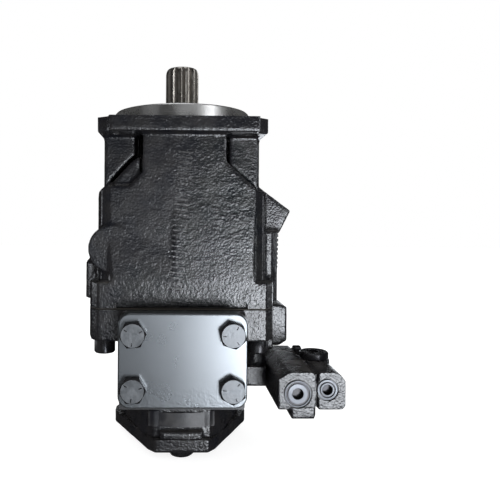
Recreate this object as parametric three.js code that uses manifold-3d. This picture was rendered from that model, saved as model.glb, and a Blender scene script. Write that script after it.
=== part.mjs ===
// Open-circuit axial piston pump, swashplate type, with a pressure and load-sensing control valve.
// Millimetres. The origin is the centre of the mounting flange's face, on the shaft axis. +Z runs out
// of the pump along the drive shaft, and the inlet port faces -Y.
import * as THREE from 'three';
import { mergeVertices } from 'three/addons/utils/BufferGeometryUtils.js';
import Module from 'manifold-3d';

// Driving dimensions: mounting face and shaft end (127 mm pilot, 14-tooth 12/24 spline)
const PILOT_R = 63.5;
const PILOT_H = 12.7;
const FLANGE_T = 13;
const FLANGE_HALF_X = 73;
const FLANGE_HALF_Y = 74.5;
const FLANGE_HOLE = 57.25;
const FLANGE_HOLE_R = 7.15;
const SHAFT_TIP_Z = 57;
const SPLINE_TEETH = 14;
const SPLINE_TIP_R = 15.6;
const SPLINE_ROOT_R = 13.6;
const INNER_TEETH = 8;

// Driving dimensions: rotating group
const PISTONS = 9;
const BORE_PITCH_R = 36;
const BORE_R = 9.5;
const BALL_PITCH_R = 36.7;
const PISTON_R = 8.4;
const PISTON_LENGTH = 50;
const BALL_R = 7.2;
const PIVOT_Z = -85;
const STROKE_ANGLE = THREE.MathUtils.degToRad(16);
const FACE_H = 10.3;
const CRADLE_R = 42;
const BLOCK_R = 50;
const BLOCK_TOP_Z = -103;
const BLOCK_BOTTOM_Z = -154;
const BORE_BOTTOM_Z = -147.5;

// Driving dimensions: stroking pistons
const STROKER_X = 62;
const STROKER_R = 8;
const STROKER_TIP_R = 10;
const STROKER_BORE_R = 8.4;
const SERVO_LENGTH = 48;
const BIAS_LENGTH = 66;

// Driving dimensions: casings
const SHOULDER_Z = -59;
const BAND_TOP_Z = -139;
const JOINT_Z = -161;
const CAP_TOP_Z = -162.5;
const CAP_FLANGE_Z = -189;
const PLATE_TOP_Z = -268.5;
const PLATE_BOTTOM_Z = -279.5;
const CAP_SCREW = [66.5, 52];
const CAVITY_R = 52.5;
const PORT_Z = -197;
const INLET_FACE_Y = -85;
const OUTLET_FACE_Y = 78;
const COVER_SIZE = [101.7, 15, 74.3];
const COVER_BOLTS = [38.9, 21.45];
const COVER_BOLT_HEAD = { acrossFlats: 19, height: 7.5 };
const OUTLET_TAPS = [33.35, 15.9];
const REAR_BOLT_Y = 60;
const REAR_BOLT_HEAD = { acrossFlats: 19, height: 6 };
const M12_R = 6;
const M12_CLEARANCE_R = 6.8;
const M12_TAP_R = 6.3;
const VALVE_SCREW_Y = -14;
const VALVE_SCREW_Z = [-227, -211];
const GAP = 0.3;

const wasm = await Module();
wasm.setup();

// ---------------------------------------------------------------- finishes
const finish = (color, roughness, metalness) =>
  new THREE.MeshStandardMaterial({ color, roughness, metalness });
const PAINTED_IRON = finish(0x1b1c20, 0.45, 0.3);
const MACHINED = finish(0xa8a6a0, 0.35, 1);
const GROUND = finish(0xb9b9bb, 0.22, 1);
const PLATED = finish(0x6d747a, 0.4, 0.8);
const BLACK_STEEL = finish(0x2a2c30, 0.42, 0.7);
const BRONZE = finish(0xa5763a, 0.35, 1);
const RUBBER = finish(0x18181a, 0.8, 0);
const FIBRE = finish(0x2d2a26, 0.9, 0);

// ---------------------------------------------------------------- solids
function volume(position, index) {
  const [a, b, c] = [new THREE.Vector3(), new THREE.Vector3(), new THREE.Vector3()];
  let sum = 0;
  for (let i = 0; i < index.length; i += 3) {
    a.fromBufferAttribute(position, index[i]);
    b.fromBufferAttribute(position, index[i + 1]);
    c.fromBufferAttribute(position, index[i + 2]);
    sum += a.dot(b.cross(c));
  }
  return sum / 6;
}

function solid(geometry) {
  const plain = geometry.clone();
  plain.deleteAttribute('normal');
  plain.deleteAttribute('uv');
  const merged = mergeVertices(plain, 1e-4);
  const source = merged.index.array;
  const kept = [];
  for (let i = 0; i < source.length; i += 3) {
    const [a, b, c] = [source[i], source[i + 1], source[i + 2]];
    if (a !== b && b !== c && c !== a) kept.push(a, b, c);
  }
  const position = merged.attributes.position;
  if (volume(position, kept) < 0) {
    for (let i = 0; i < kept.length; i += 3) [kept[i], kept[i + 1]] = [kept[i + 1], kept[i]];
  }
  const vertProperties = new Float32Array(position.array);
  return new wasm.Manifold(new wasm.Mesh({ numProp: 3, vertProperties, triVerts: new Uint32Array(kept) }));
}

function geometryOf(manifold) {
  const mesh = manifold.getMesh();
  const geometry = new THREE.BufferGeometry();
  geometry.setAttribute('position', new THREE.BufferAttribute(new Float32Array(mesh.vertProperties), 3));
  geometry.setIndex(new THREE.BufferAttribute(new Uint32Array(mesh.triVerts), 1));
  const faceted = geometry.toNonIndexed();
  faceted.computeVertexNormals();
  return faceted;
}

const join = (...parts) => parts.reduce((whole, part) => whole.add(part));
const cut = (body, ...tools) => tools.reduce((rest, tool) => rest.subtract(tool), body);

function part(name, manifold, material) {
  const mesh = new THREE.Mesh(geometryOf(manifold), material);
  mesh.name = name;
  return mesh;
}

const outline = (points) => new THREE.Shape(points.map(([x, y]) => new THREE.Vector2(x, y)));

// An outline in X and Y, standing from z0 up to z1.
function plan(points, z0, z1) {
  const options = { depth: z1 - z0, bevelEnabled: false, steps: 1 };
  return solid(new THREE.ExtrudeGeometry(outline(points), options).translate(0, 0, z0));
}

// An outline in X and Z, running from y0 back to y1.
function elevation(points, y0, y1) {
  const options = { depth: y1 - y0, bevelEnabled: false, steps: 1 };
  const geometry = new THREE.ExtrudeGeometry(outline(points), options).rotateX(Math.PI / 2);
  return solid(geometry.translate(0, y1, 0));
}

function box(x0, x1, y0, y1, z0, z1) {
  const geometry = new THREE.BoxGeometry(x1 - x0, y1 - y0, z1 - z0);
  return solid(geometry.translate((x0 + x1) / 2, (y0 + y1) / 2, (z0 + z1) / 2));
}

// A profile of [radius, height] points turned about Z. It closes on itself or on the axis.
function turned(profile, segments = 32, x = 0, y = 0) {
  const points = profile.map(([r, z]) => new THREE.Vector2(r, z));
  if (profile[0][0] > 0) points.push(points[0].clone());
  return solid(new THREE.LatheGeometry(points, segments).rotateX(Math.PI / 2).translate(x, y, 0));
}

const post = (r, z0, z1, x = 0, y = 0, segments = 24) =>
  turned([[0, z0], [r, z0], [r, z1], [0, z1]], segments, x, y);

// A round bar along Y from y0 to y1.
function barY(r, y0, y1, x, z, segments = 24) {
  const geometry = new THREE.CylinderGeometry(r, r, y1 - y0, segments);
  return solid(geometry.translate(x, (y0 + y1) / 2, z));
}

// A round bar along X from x0 to x1.
function barX(r, x0, x1, y, z, segments = 16) {
  const geometry = new THREE.CylinderGeometry(r, r, x1 - x0, segments).rotateZ(Math.PI / 2);
  return solid(geometry.translate((x0 + x1) / 2, y, z));
}

const moved = (manifold, matrix) => manifold.transform(matrix.elements);
const mirrorPoints = (points) => points.concat(points.map(([x, y]) => [x, -y]).reverse());
const fourWays = (x, y) => [[-x, -y], [x, -y], [-x, y], [x, y]];

function arc(r, from, to, steps, cx = 0, cy = 0) {
  return Array.from({ length: steps + 1 }, (_, i) => {
    const angle = from + ((to - from) * i) / steps;
    return [cx + r * Math.cos(angle), cy + r * Math.sin(angle)];
  });
}

function splineOutline(root, tip, teeth = SPLINE_TEETH) {
  const pitch = (2 * Math.PI) / teeth;
  return Array.from({ length: teeth }, (_, i) => i * pitch).flatMap((angle) => [
    [root, angle - 0.3 * pitch],
    [tip, angle - 0.15 * pitch],
    [tip, angle + 0.15 * pitch],
    [root, angle + 0.3 * pitch],
  ]).map(([r, angle]) => [r * Math.cos(angle), r * Math.sin(angle)]);
}

const hexagon = (acrossFlats) => arc(acrossFlats / Math.sqrt(3), 0, (5 * Math.PI) / 3, 5);

// ---------------------------------------------------------------- housing
// The band round the housing's open end, shared with the end cap's flange and the gasket.
function ringOfBand(inset = 0) {
  const corner = [[81, 46], [77.5, 61], [71, 69]].map(([x, y]) => [x - inset, y - inset]);
  const left = corner.map(([x, y]) => [-x, y]).reverse();
  return mirrorPoints([...corner, ...left].reverse());
}

const FLANGE_PLAN = [[-64, -FLANGE_HALF_Y], [64, -FLANGE_HALF_Y], [64, -68], [FLANGE_HALF_X, -60],
  [FLANGE_HALF_X, 60], [64, 68], [64, FLANGE_HALF_Y], [-64, FLANGE_HALF_Y], [-64, 68], [-FLANGE_HALF_X, 60],
  [-FLANGE_HALF_X, -60], [-64, -68]];
const BODY_PLAN = [[-62, -67], [62, -67], [70, -61], [73, -50], [78.5, -10], [78.5, 10], [73, 50], [70, 61],
  [62, 67], [-62, 67], [-70, 61], [-73, 50], [-78.5, 10], [-78.5, -10], [-73, -50], [-70, -61]];
const BODY_ELEVATION = [[-79, BAND_TOP_Z - 2], [79, BAND_TOP_Z - 2], [79, -70], [72, -57], [38, -30],
  [38, -10], [-38, -10], [-38, -30], [-72, -57], [-79, -70]];
const DRAIN_BOSS = [[60, -47], [72, -56], [101.5, -78], [91, -99], [60, -99]];
const DRAIN_CENTRE = [87, -67.1];
const DRAIN_TILT = Math.atan2(29.5, 22);

// Places a piece made along +Z so that it stands on the slanted drain face.
function onDrainFace(manifold) {
  const matrix = new THREE.Matrix4().makeRotationY(Math.PI / 2 - DRAIN_TILT);
  matrix.setPosition(DRAIN_CENTRE[0], 0, DRAIN_CENTRE[1]);
  return moved(manifold, matrix);
}

function housingShell() {
  const body = elevation(BODY_ELEVATION, -67, 67).intersect(plan(BODY_PLAN, BAND_TOP_Z - 1, 0));
  const pockets = fourWays(1, 1).map(([sx, sy]) => box(
    ...[sx * 35, sx * 90].sort((a, b) => a - b),
    ...[sy * 55, sy * 90].sort((a, b) => a - b),
    SHOULDER_Z,
    -FLANGE_T,
  ));
  const flange = plan(FLANGE_PLAN, -FLANGE_T, 0);
  const pilot = turned([[0, -5], [PILOT_R, -5], [PILOT_R, PILOT_H - 1], [PILOT_R - 1, PILOT_H],
    [0, PILOT_H]], 36);
  const barrel = post(48, -60, -5, 0, 0, 20);
  const ribs = box(-FLANGE_HALF_X, FLANGE_HALF_X, -16, 16, -66, -5);
  const band = plan(ringOfBand(), JOINT_Z, BAND_TOP_Z);
  return join(cut(body, ...pockets), barrel, ribs, band, flange, pilot);
}

function housingBosses() {
  const front = barY(20, -67, -40, -60, -112, 18);
  const servo = turned([[0, -160], [27.5, -160], [27.5, -127], [23, -122], [0, -122]], 20, -64, 4);
  const bias = plan([[60, -30], [82, -30], [88.5, -24], [88.5, 24], [82, 30], [60, 30]], -160, -97);
  const drain = elevation(DRAIN_BOSS, -22, 22);
  return [front, servo, bias, drain];
}

function housingHollows() {
  const shaftSide = turned([[0, 20], [36.3, 20], [36.3, 11.6], [38, 11.6], [38, 9.3], [36.3, 9.3],
    [36.3, 0.5], [34.3, -0.5], [34.3, -22.3], [24, -22.3], [24, -60], [0, -60]], 20);
  const saddle = barY(CRADLE_R + 2.3, -46, 46, 0, PIVOT_Z, 40);
  const swashOutline = [[-58, -112], [58, -112], [58, -58], [50, -50], [-50, -50], [-58, -58]];
  const swashRoom = elevation(swashOutline, -53, 53);
  const armOutline = [[-72.5, -112], [72.5, -112], [72.5, -80], [71.2, -61], [68, -44], [-68, -44],
    [-71.2, -61], [-72.5, -80]];
  const armRoom = elevation(armOutline, -12.5, 12.5);
  const blockRoom = post(CAVITY_R, -170, -100, 0, 0, 24);
  const servoBore = post(STROKER_BORE_R, -158, -105, -STROKER_X, 0, 16);
  const biasBore = post(STROKER_BORE_R, -158, -105, STROKER_X, 0, 16);
  return [shaftSide, saddle, swashRoom, armRoom, blockRoom, servoBore, biasBore];
}

function housingHoles() {
  const flangeHoles = fourWays(FLANGE_HOLE, FLANGE_HOLE)
    .map(([x, y]) => post(FLANGE_HOLE_R, -20, 5, x, y, 12));
  const screwHoles = fourWays(...CAP_SCREW).map(([x, y]) => post(M12_TAP_R, -170, -144, x, y, 8));
  const drain = onDrainFace(turned([[0, -20], [9, -20], [9, -4], [13, -4], [13, 5], [0, 5]], 20));
  return [...flangeHoles, ...screwHoles, drain];
}

function makeHousing() {
  const cast = join(housingShell(), ...housingBosses());
  return part('housing', cut(cast, ...housingHollows(), ...housingHoles()), PAINTED_IRON);
}

// ---------------------------------------------------------------- end cap
const REAR_COVER_PLAN = [[-23, -77], [23, -77], [29, -70], [62, -6], [62, 6], [29, 70], [23, 77], [-23, 77],
  [-29, 70], [-62, 6], [-62, -6], [-29, -70]];
const CORE_FRONT = arc(100, -Math.PI / 2 - 0.28, -Math.PI / 2 + 0.28, 4, 0, 28);
const CORE_PLAN = [...CORE_FRONT, [56, -5], [56, 5], [28, 70], [-28, 70], [-56, 5], [-56, -5]];
const KIDNEY = [...arc(40, -0.95, 0.95, 6), ...arc(31, 0.95, -0.95, 6)];
const turnPoints = (points, angle) => points.map(([x, y]) => [
  x * Math.cos(angle) - y * Math.sin(angle),
  x * Math.sin(angle) + y * Math.cos(angle),
]);
const INLET_KIDNEY = turnPoints(KIDNEY, -Math.PI / 2);
const OUTLET_KIDNEY = turnPoints(KIDNEY, Math.PI / 2);

function capBody() {
  const flange = plan(ringOfBand(), CAP_FLANGE_Z, CAP_TOP_Z);
  const spigot = post(49, CAP_TOP_Z - 2, -158.7, 0, 0, 24);
  const inletBlock = elevation([[-51, -240], [51, -240], [51, -164], [-51, -164]], INLET_FACE_Y, 3);
  const brow = box(-51, 51, INLET_FACE_Y, -70.5, -175, -158.5);
  const outletBlock = elevation([[-44, -236], [44, -236], [44, -164], [-44, -164]], -3, OUTLET_FACE_Y);
  const core = plan(CORE_PLAN, PLATE_TOP_Z + GAP, -230);
  const lip = box(-18, 18, -75, -50, PLATE_TOP_Z + GAP, -262);
  const padOutline = [[60, -203], [91, -203], [98, -198], [98, -167], [91, -164], [60, -164]];
  const pad = elevation(padOutline, -24, 24);
  const wing = box(30, 74.7, -52, 8, -232, -202);
  return join(flange, spigot, inletBlock, brow, outletBlock, core, lip, pad, wing);
}

function capHollows() {
  const bearing = turned([[0, -155], [26.3, -155], [26.3, -184], [20, -184], [20, -192], [0, -192]], 20);
  const inlet = barY(25, -90, -30, 0, PORT_Z, 20);
  const outlet = barY(16, 30, 90, 0, PORT_Z, 16);
  const kidneys = [plan(INLET_KIDNEY, PORT_Z, -150), plan(OUTLET_KIDNEY, PORT_Z, -150)];
  const screwHoles = fourWays(...CAP_SCREW).map(([x, y]) => post(M12_CLEARANCE_R, -195, -160, x, y, 8));
  const headRoom = fourWays(...CAP_SCREW).map(([x, y]) => post(10.5, -205, CAP_FLANGE_Z, x, y, 12));
  const throughDrive = post(24, -272, -250, 0, 0, 16);
  return [bearing, inlet, outlet, ...kidneys, ...screwHoles, ...headRoom, throughDrive];
}

function capHoles() {
  const inletTaps = fourWays(...COVER_BOLTS)
    .map(([x, z]) => barY(M12_TAP_R, INLET_FACE_Y - 1, INLET_FACE_Y + 20, x, PORT_Z + z, 8));
  const outletTaps = fourWays(...OUTLET_TAPS)
    .map(([x, z]) => barY(5.1, OUTLET_FACE_Y - 22, 90, x, PORT_Z + z, 8));
  const rearTaps = [-REAR_BOLT_Y, REAR_BOLT_Y].map((y) => post(M12_TAP_R, -275, -250, 0, y, 8));
  const valveTaps = VALVE_SCREW_Z.map((z) => barX(4.3, 58, 80, VALVE_SCREW_Y, z, 8));
  return [...inletTaps, ...outletTaps, ...rearTaps, ...valveTaps];
}

const makeEndCap = () => part('end_cap', cut(capBody(), ...capHollows(), ...capHoles()), PAINTED_IRON);

function makeGasket() {
  const sheet = plan(ringOfBand(1), CAP_TOP_Z + GAP, JOINT_Z - GAP);
  const hole = post(CAVITY_R, -165, -155, 0, 0, 24);
  const screws = fourWays(...CAP_SCREW).map(([x, y]) => post(7, -165, -155, x, y, 8));
  return part('end_cap_gasket', cut(sheet, hole, ...screws), FIBRE);
}

// ---------------------------------------------------------------- covers and fasteners
function roundedPlate(width, height, r) {
  const [x, y] = [width / 2 - r, height / 2 - r];
  return [[x, y, 0], [-x, y, 1], [-x, -y, 2], [x, -y, 3]]
    .flatMap(([cx, cy, i]) => arc(r, (i * Math.PI) / 2, ((i + 1) * Math.PI) / 2, 4, cx, cy));
}

function makeInletCover() {
  const [width, thickness, height] = COVER_SIZE;
  const y1 = INLET_FACE_Y - GAP;
  const outlineAtPort = roundedPlate(width, height, 9.5).map(([x, z]) => [x, z + PORT_Z]);
  const plate = elevation(outlineAtPort, y1 - thickness, y1);
  const holes = fourWays(...COVER_BOLTS)
    .map(([x, z]) => barY(M12_CLEARANCE_R, -110, -80, x, PORT_Z + z, 10));
  return part('inlet_cover', cut(plate, ...holes), PLATED);
}

// A hex-head bolt made along Z: its head stands above z = 0 and its shank hangs below.
function hexBolt({ acrossFlats, height }, shankLength) {
  return join(plan(hexagon(acrossFlats), 0, height), post(M12_R, -shankLength, 1, 0, 0, 8));
}

// A socket-head screw made along Z in the same way.
function socketScrew(headR, headHeight, shankR, shankLength, key) {
  const body = join(post(headR, 0, headHeight, 0, 0, 12), post(shankR, -shankLength, 1, 0, 0, 8));
  return cut(body, plan(hexagon(key), headHeight * 0.45, headHeight + 1));
}

function makeInletCoverBolts() {
  const headY = INLET_FACE_Y - GAP - COVER_SIZE[1] - GAP;
  return fourWays(...COVER_BOLTS).map(([x, z], i) => {
    const bolt = part(`inlet_cover_bolt_${i + 1}`, hexBolt(COVER_BOLT_HEAD, 32), BLACK_STEEL);
    bolt.position.set(x, headY, PORT_Z + z);
    bolt.rotation.set(Math.PI / 2, 0, 0);
    return bolt;
  });
}

function makeCapScrews() {
  return fourWays(...CAP_SCREW).map(([x, y], i) => {
    const screw = part(`end_cap_screw_${i + 1}`, socketScrew(9, 12, M12_R, 42, 10), BLACK_STEEL);
    screw.position.set(x, y, CAP_FLANGE_Z - GAP);
    screw.rotation.set(Math.PI, 0, 0);
    return screw;
  });
}

function makeRearCover() {
  const holes = [-REAR_BOLT_Y, REAR_BOLT_Y].map((y) => post(M12_CLEARANCE_R, -290, -260, 0, y, 10));
  const plate = plan(REAR_COVER_PLAN, PLATE_BOTTOM_Z, PLATE_TOP_Z);
  return part('rear_cover', cut(plate, ...holes), PAINTED_IRON);
}

function makeRearCoverBolts() {
  return [['front', -REAR_BOLT_Y], ['back', REAR_BOLT_Y]].map(([side, y]) => {
    const bolt = part(`rear_cover_bolt_${side}`, hexBolt(REAR_BOLT_HEAD, 24), BLACK_STEEL);
    bolt.position.set(0, y, PLATE_BOTTOM_Z - GAP);
    bolt.rotation.set(Math.PI, 0, 0);
    return bolt;
  });
}

const makeDrainPlug = () => part('drain_plug', onDrainFace(cut(
  turned([[0, -16], [8.6, -16], [8.6, -3.6], [12.6, -3.6], [12.6, -0.4], [0, -0.4]], 20),
  plan(hexagon(10), -7, 2),
)), BLACK_STEEL);

// ---------------------------------------------------------------- shaft, bearings and seal
function makeShaft() {
  const journal = turned([[0, 14], [17, 14], [19, 12], [19, -1], [19.7, -2], [19.7, -22], [23, -22.3],
    [23, -29], [16, -31], [16, -103], [14.6, -104], [14.6, -152], [12.4, -154], [12.4, -184], [0, -184]], 20);
  const drive = plan(splineOutline(SPLINE_ROOT_R, SPLINE_TIP_R), 10, SHAFT_TIP_Z);
  const inner = plan(splineOutline(14.7, 16.2, INNER_TEETH), -151, BLOCK_TOP_Z - 0.5);
  return part('drive_shaft', join(journal, drive, inner), MACHINED);
}

const cupProfile = (outer, inner0, inner1, z0, z1) => [[inner0, z0], [outer, z0], [outer, z1], [inner1, z1]];

function makeBearings() {
  const frontCup = turned(cupProfile(34, 31, 28, -22, -3), 20);
  const frontCone = turned([[20, -22], [29.8, -21.5], [26.6, -3.5], [20, -3]], 24);
  const rearCup = turned(cupProfile(26, 21, 23.4, -182, -167), 20);
  const rearCone = turned([[12.7, -182], [19.6, -181.5], [22, -167.5], [12.7, -167]], 20);
  return [part('front_bearing_cup', frontCup, GROUND), part('front_bearing_cone', frontCone, GROUND),
    part('rear_bearing_cup', rearCup, GROUND), part('rear_bearing_cone', rearCone, GROUND)];
}

function makeSeal() {
  const seal = turned([[19.4, 1.2], [36, 1.2], [36, 9], [25, 9], [25, 4], [19.4, 6]], 20);
  const [open, shut] = [0.2, 2 * Math.PI - 0.2];
  const ring = [...arc(37.3, open, shut, 18), ...arc(33, shut, open, 18)];
  return [part('shaft_seal', seal, RUBBER), part('seal_snap_ring', plan(ring, 9.6, 11.3), BLACK_STEEL)];
}

// ---------------------------------------------------------------- cylinder block
const pistonAngles = Array.from({ length: PISTONS }, (_, i) => (2 * Math.PI * i) / PISTONS);

function makeBlock() {
  const body = post(BLOCK_R, BLOCK_BOTTOM_Z, BLOCK_TOP_Z, 0, 0, 27);
  const bores = pistonAngles.flatMap((angle) => {
    const [x, y] = [BORE_PITCH_R * Math.cos(angle), BORE_PITCH_R * Math.sin(angle)];
    return [post(BORE_R, BORE_BOTTOM_Z, -90, x, y, 14), post(4, -160, BORE_BOTTOM_Z + 1, x, y, 6)];
  });
  const splined = plan(splineOutline(15, 16.5, INNER_TEETH), -160, -90);
  const springRoom = post(24, -135, -90, 0, 0, 20);
  return part('cylinder_block', cut(body, ...bores, splined, springRoom), GROUND);
}

function makeBallGuide() {
  const sphere = arc(20, -0.28, 0.44, 5, 0, PIVOT_Z);
  const profile = [[16.9, -109], [19.2, -109], ...sphere, [16.9, PIVOT_Z + 20 * Math.sin(0.44)]];
  return part('ball_guide', turned(profile, 20), GROUND);
}

class Helix extends THREE.Curve {
  constructor(radius, z0, z1, turns) {
    super();
    Object.assign(this, { radius, z0, z1, turns });
  }

  getPoint(t, target = new THREE.Vector3()) {
    const angle = 2 * Math.PI * this.turns * t;
    return target.set(this.radius * Math.cos(angle), this.radius * Math.sin(angle),
      this.z0 + (this.z1 - this.z0) * t);
  }
}

function coil(radius, wireR, z0, z1, turns) {
  const extrudePath = new Helix(radius, z0 + wireR, z1 - wireR, turns);
  const wire = outline(arc(wireR, 0, 1.5 * Math.PI, 3));
  return solid(new THREE.ExtrudeGeometry(wire, { steps: turns * 8, extrudePath, bevelEnabled: false }));
}

const makeBlockSpring = () => part('block_spring', coil(20, 1.7, -134.6, -109.4, 4), BLACK_STEEL);

function makeValvePlate() {
  const disc = plan(arc(48, 0, 2 * Math.PI * (27 / 28), 27), -158.4, -154.3);
  const kidneys = [INLET_KIDNEY, OUTLET_KIDNEY].map((kidney) => plan(kidney, -165, -150));
  return part('valve_plate', cut(disc, post(17, -165, -150, 0, 0, 16), ...kidneys), BRONZE);
}

// ---------------------------------------------------------------- swashplate, slippers and pistons
function makeSwashplate() {
  const arms = [[-68.5, -11], [-50, -11], ...arc(50, Math.PI + 0.24, 2 * Math.PI - 0.24, 10), [50, -11],
    [68.5, -11]];
  const running = plan(mirrorPoints(arms), FACE_H, 15.5);
  const saddleOutline = [[-42, 12], [42, 12], [42, 45], [-42, 45]];
  const saddles = [-1, 1].map((s) => {
    const span = [s * 22, s * 44].sort((a, b) => a - b);
    return elevation(saddleOutline, ...span).intersect(barY(CRADLE_R, -50, 50, 0, 0, 48));
  });
  const quarter = Math.PI / 2;
  const slot = [...arc(19, -quarter, quarter, 8, 11), ...arc(19, quarter, 3 * quarter, 8, -11)];
  const shaftRoom = plan(slot, 0, 50);
  return part('swashplate', cut(join(running, ...saddles), shaftRoom), GROUND);
}

function makeCradleBearings() {
  const [inner, outer] = [CRADLE_R + GAP, CRADLE_R + 2];
  const [from, to] = [Math.PI / 2 - 0.72, Math.PI / 2 + 0.72];
  const shell = [...arc(inner, from, to, 11), ...arc(outer, to, from, 11)].map(([x, z]) => [x, z + PIVOT_Z]);
  return [part('cradle_bearing_front', elevation(shell, -44, -22), BRONZE),
    part('cradle_bearing_back', elevation(shell, 22, 44), BRONZE)];
}

function makeRetainer() {
  const disc = post(BALL_PITCH_R + 11.8, 2.2, 5.9, 0, 0, 27);
  const holes = pistonAngles.map((angle) =>
    post(9.6, 0, 10, BALL_PITCH_R * Math.cos(angle), BALL_PITCH_R * Math.sin(angle), 10));
  return part('slipper_retainer', cut(disc, ...holes, post(20.9, 0, 10, 0, 0, 18)), GROUND);
}

function slipperSolid() {
  const socket = arc(7.8, -0.38, Math.PI / 2, 4).map(([r, z]) => [Math.max(r, 0), z]);
  return turned([...socket.reverse(), [9, -2.9], [9, 6.2], [11.9, 6.2], [11.9, 10], [0, 10]], 12);
}

function pistonSolid() {
  const ball = arc(BALL_R, Math.PI / 2, -0.8, 4).map(([r, z]) => [Math.max(r, 0), z]);
  return turned([...ball, [5, -8], [PISTON_R, -10.5], [PISTON_R, -PISTON_LENGTH], [0, -PISTON_LENGTH]], 12);
}

// Everything that tilts hangs in this group, turned about the cradle axis to full stroke.
function makeTilting() {
  const tilting = new THREE.Group();
  tilting.position.z = PIVOT_Z;
  tilting.rotation.y = -STROKE_ANGLE;
  tilting.add(makeSwashplate(), makeRetainer());
  const slipper = slipperSolid();
  pistonAngles.forEach((angle, i) => {
    const shoe = part(`slipper_${i + 1}`, slipper, BRONZE);
    shoe.position.set(BALL_PITCH_R * Math.cos(angle), BALL_PITCH_R * Math.sin(angle), 0);
    tilting.add(shoe);
  });
  return tilting;
}

function makePistons() {
  const body = pistonSolid();
  return pistonAngles.map((angle, i) => {
    const piston = part(`piston_${i + 1}`, body, GROUND);
    const along = BALL_PITCH_R * Math.cos(angle);
    piston.position.set(along * Math.cos(STROKE_ANGLE), BALL_PITCH_R * Math.sin(angle),
      PIVOT_Z + along * Math.sin(STROKE_ANGLE));
    return piston;
  });
}

// ---------------------------------------------------------------- stroking pistons
// The domed tip's centre is the origin; the body hangs below it.
function strokerSolid(length, hollowR, hollowDepth) {
  const dome = arc(STROKER_TIP_R, Math.PI / 2, Math.acos(STROKER_R / STROKER_TIP_R), 3)
    .map(([r, z]) => [Math.max(r, 0), z]);
  const hollowTop = hollowDepth - length;
  const foot = hollowR ? [[hollowR, -length], [hollowR, hollowTop], [0, hollowTop]] : [[0, -length]];
  return turned([...dome, [STROKER_R, -length], ...foot], 16);
}

function makeStrokers() {
  const rise = STROKER_X * Math.tan(STROKE_ANGLE);
  const servo = part('servo_piston', strokerSolid(SERVO_LENGTH, 0, 0), GROUND);
  servo.position.set(-STROKER_X, 0, PIVOT_Z - rise);
  const hollowDepth = 45;
  const bias = part('bias_piston', strokerSolid(BIAS_LENGTH, 5.6, hollowDepth), GROUND);
  bias.position.set(STROKER_X, 0, PIVOT_Z + rise);
  const springTop = PIVOT_Z + rise - BIAS_LENGTH + hollowDepth - GAP;
  const spring = part('bias_spring', coil(4.2, 0.9, -157.7, springTop, 6), BLACK_STEEL);
  spring.position.x = STROKER_X;
  return [servo, bias, spring];
}

// ---------------------------------------------------------------- control valve
const PC = [91, -223];
const LS = [114.4, -219.7];
const VALVE_FRONT_Y = -99;
const VALVE_LEFT_X = 105.5;
const TOP_PLUG = [115, -54];

function makeValveBody() {
  const left = elevation([[75, -236], [85.5, -236], [85.5, -243], [VALVE_LEFT_X, -243], [VALVE_LEFT_X, -206],
    [84, -206], [75, -212]], VALVE_FRONT_Y, -6);
  const right = elevation([[107, -236], [129.5, -236], [129.5, -210], [125, -206], [107, -206]],
    VALVE_FRONT_Y, -40);
  const web = box(105, 108, -97, -42, -234, -208);
  const pcBores = [barY(11.6, -105, -97, ...PC, 20), barY(8, -105, -82, ...PC, 16),
    barY(4.4, -90, -22, ...PC, 10)];
  const lsBores = [barY(9, -105, -97, ...LS, 18), barY(6.2, -105, -84, ...LS, 14),
    barY(4.4, -90, -50, ...LS, 10)];
  const topPort = post(9.5, -211.5, -200, ...TOP_PLUG, 14);
  const screws = VALVE_SCREW_Z.map((z) => barX(4.5, 70, 120, VALVE_SCREW_Y, z, 10));
  const tools = [...pcBores, ...lsBores, topPort, ...screws];
  return part('valve_body', cut(join(left, right, web), ...tools), PAINTED_IRON);
}

// A socket plug made along Y, its face towards -Y at the mouth of its bore.
function portPlug(name, [x, z], flangeR, bodyR, holeR, depth) {
  const faceY = VALVE_FRONT_Y + GAP;
  const flange = barY(flangeR, faceY, faceY + 1.4, x, z, 20);
  const body = barY(bodyR, faceY, faceY + depth, x, z, 14);
  return part(name, cut(join(flange, body), barY(holeR, faceY - 1, faceY + 6, x, z, 10)), PLATED);
}

function spool(name, [x, z], y0, y1) {
  const third = (y1 - y0) / 3;
  const core = barY(2.8, y0 + 1, y1 - 1, x, z, 8);
  const lands = [0, 2].map((i) => barY(4.1, y0 + i * third, y0 + (i + 1) * third, x, z, 12));
  return part(name, join(core, ...lands), GROUND);
}

function makeValveParts() {
  const plugBody = join(post(12.2, -205.7, -200, ...TOP_PLUG, 18), post(9.1, -211, -205, ...TOP_PLUG, 14));
  const key = hexagon(8).map(([x, y]) => [x + TOP_PLUG[0], y + TOP_PLUG[1]]);
  const topPlug = cut(plugBody, plan(key, -205, -195));
  const screws = VALVE_SCREW_Z.map((z, i) => {
    const screw = part(`valve_screw_${i + 1}`, socketScrew(6.5, 7, 4, 44, 6), BLACK_STEEL);
    screw.position.set(VALVE_LEFT_X + GAP, VALVE_SCREW_Y, z);
    screw.rotation.set(0, Math.PI / 2, 0);
    return screw;
  });
  return [portPlug('pc_plug', PC, 10.4, 7.6, 4.2, 14), portPlug('ls_plug', LS, 8, 5.9, 3.6, 12),
    spool('pc_spool', PC, -79, -26), spool('ls_spool', LS, -81, -53),
    part('valve_top_plug', topPlug, BLACK_STEEL), ...screws];
}

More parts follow.
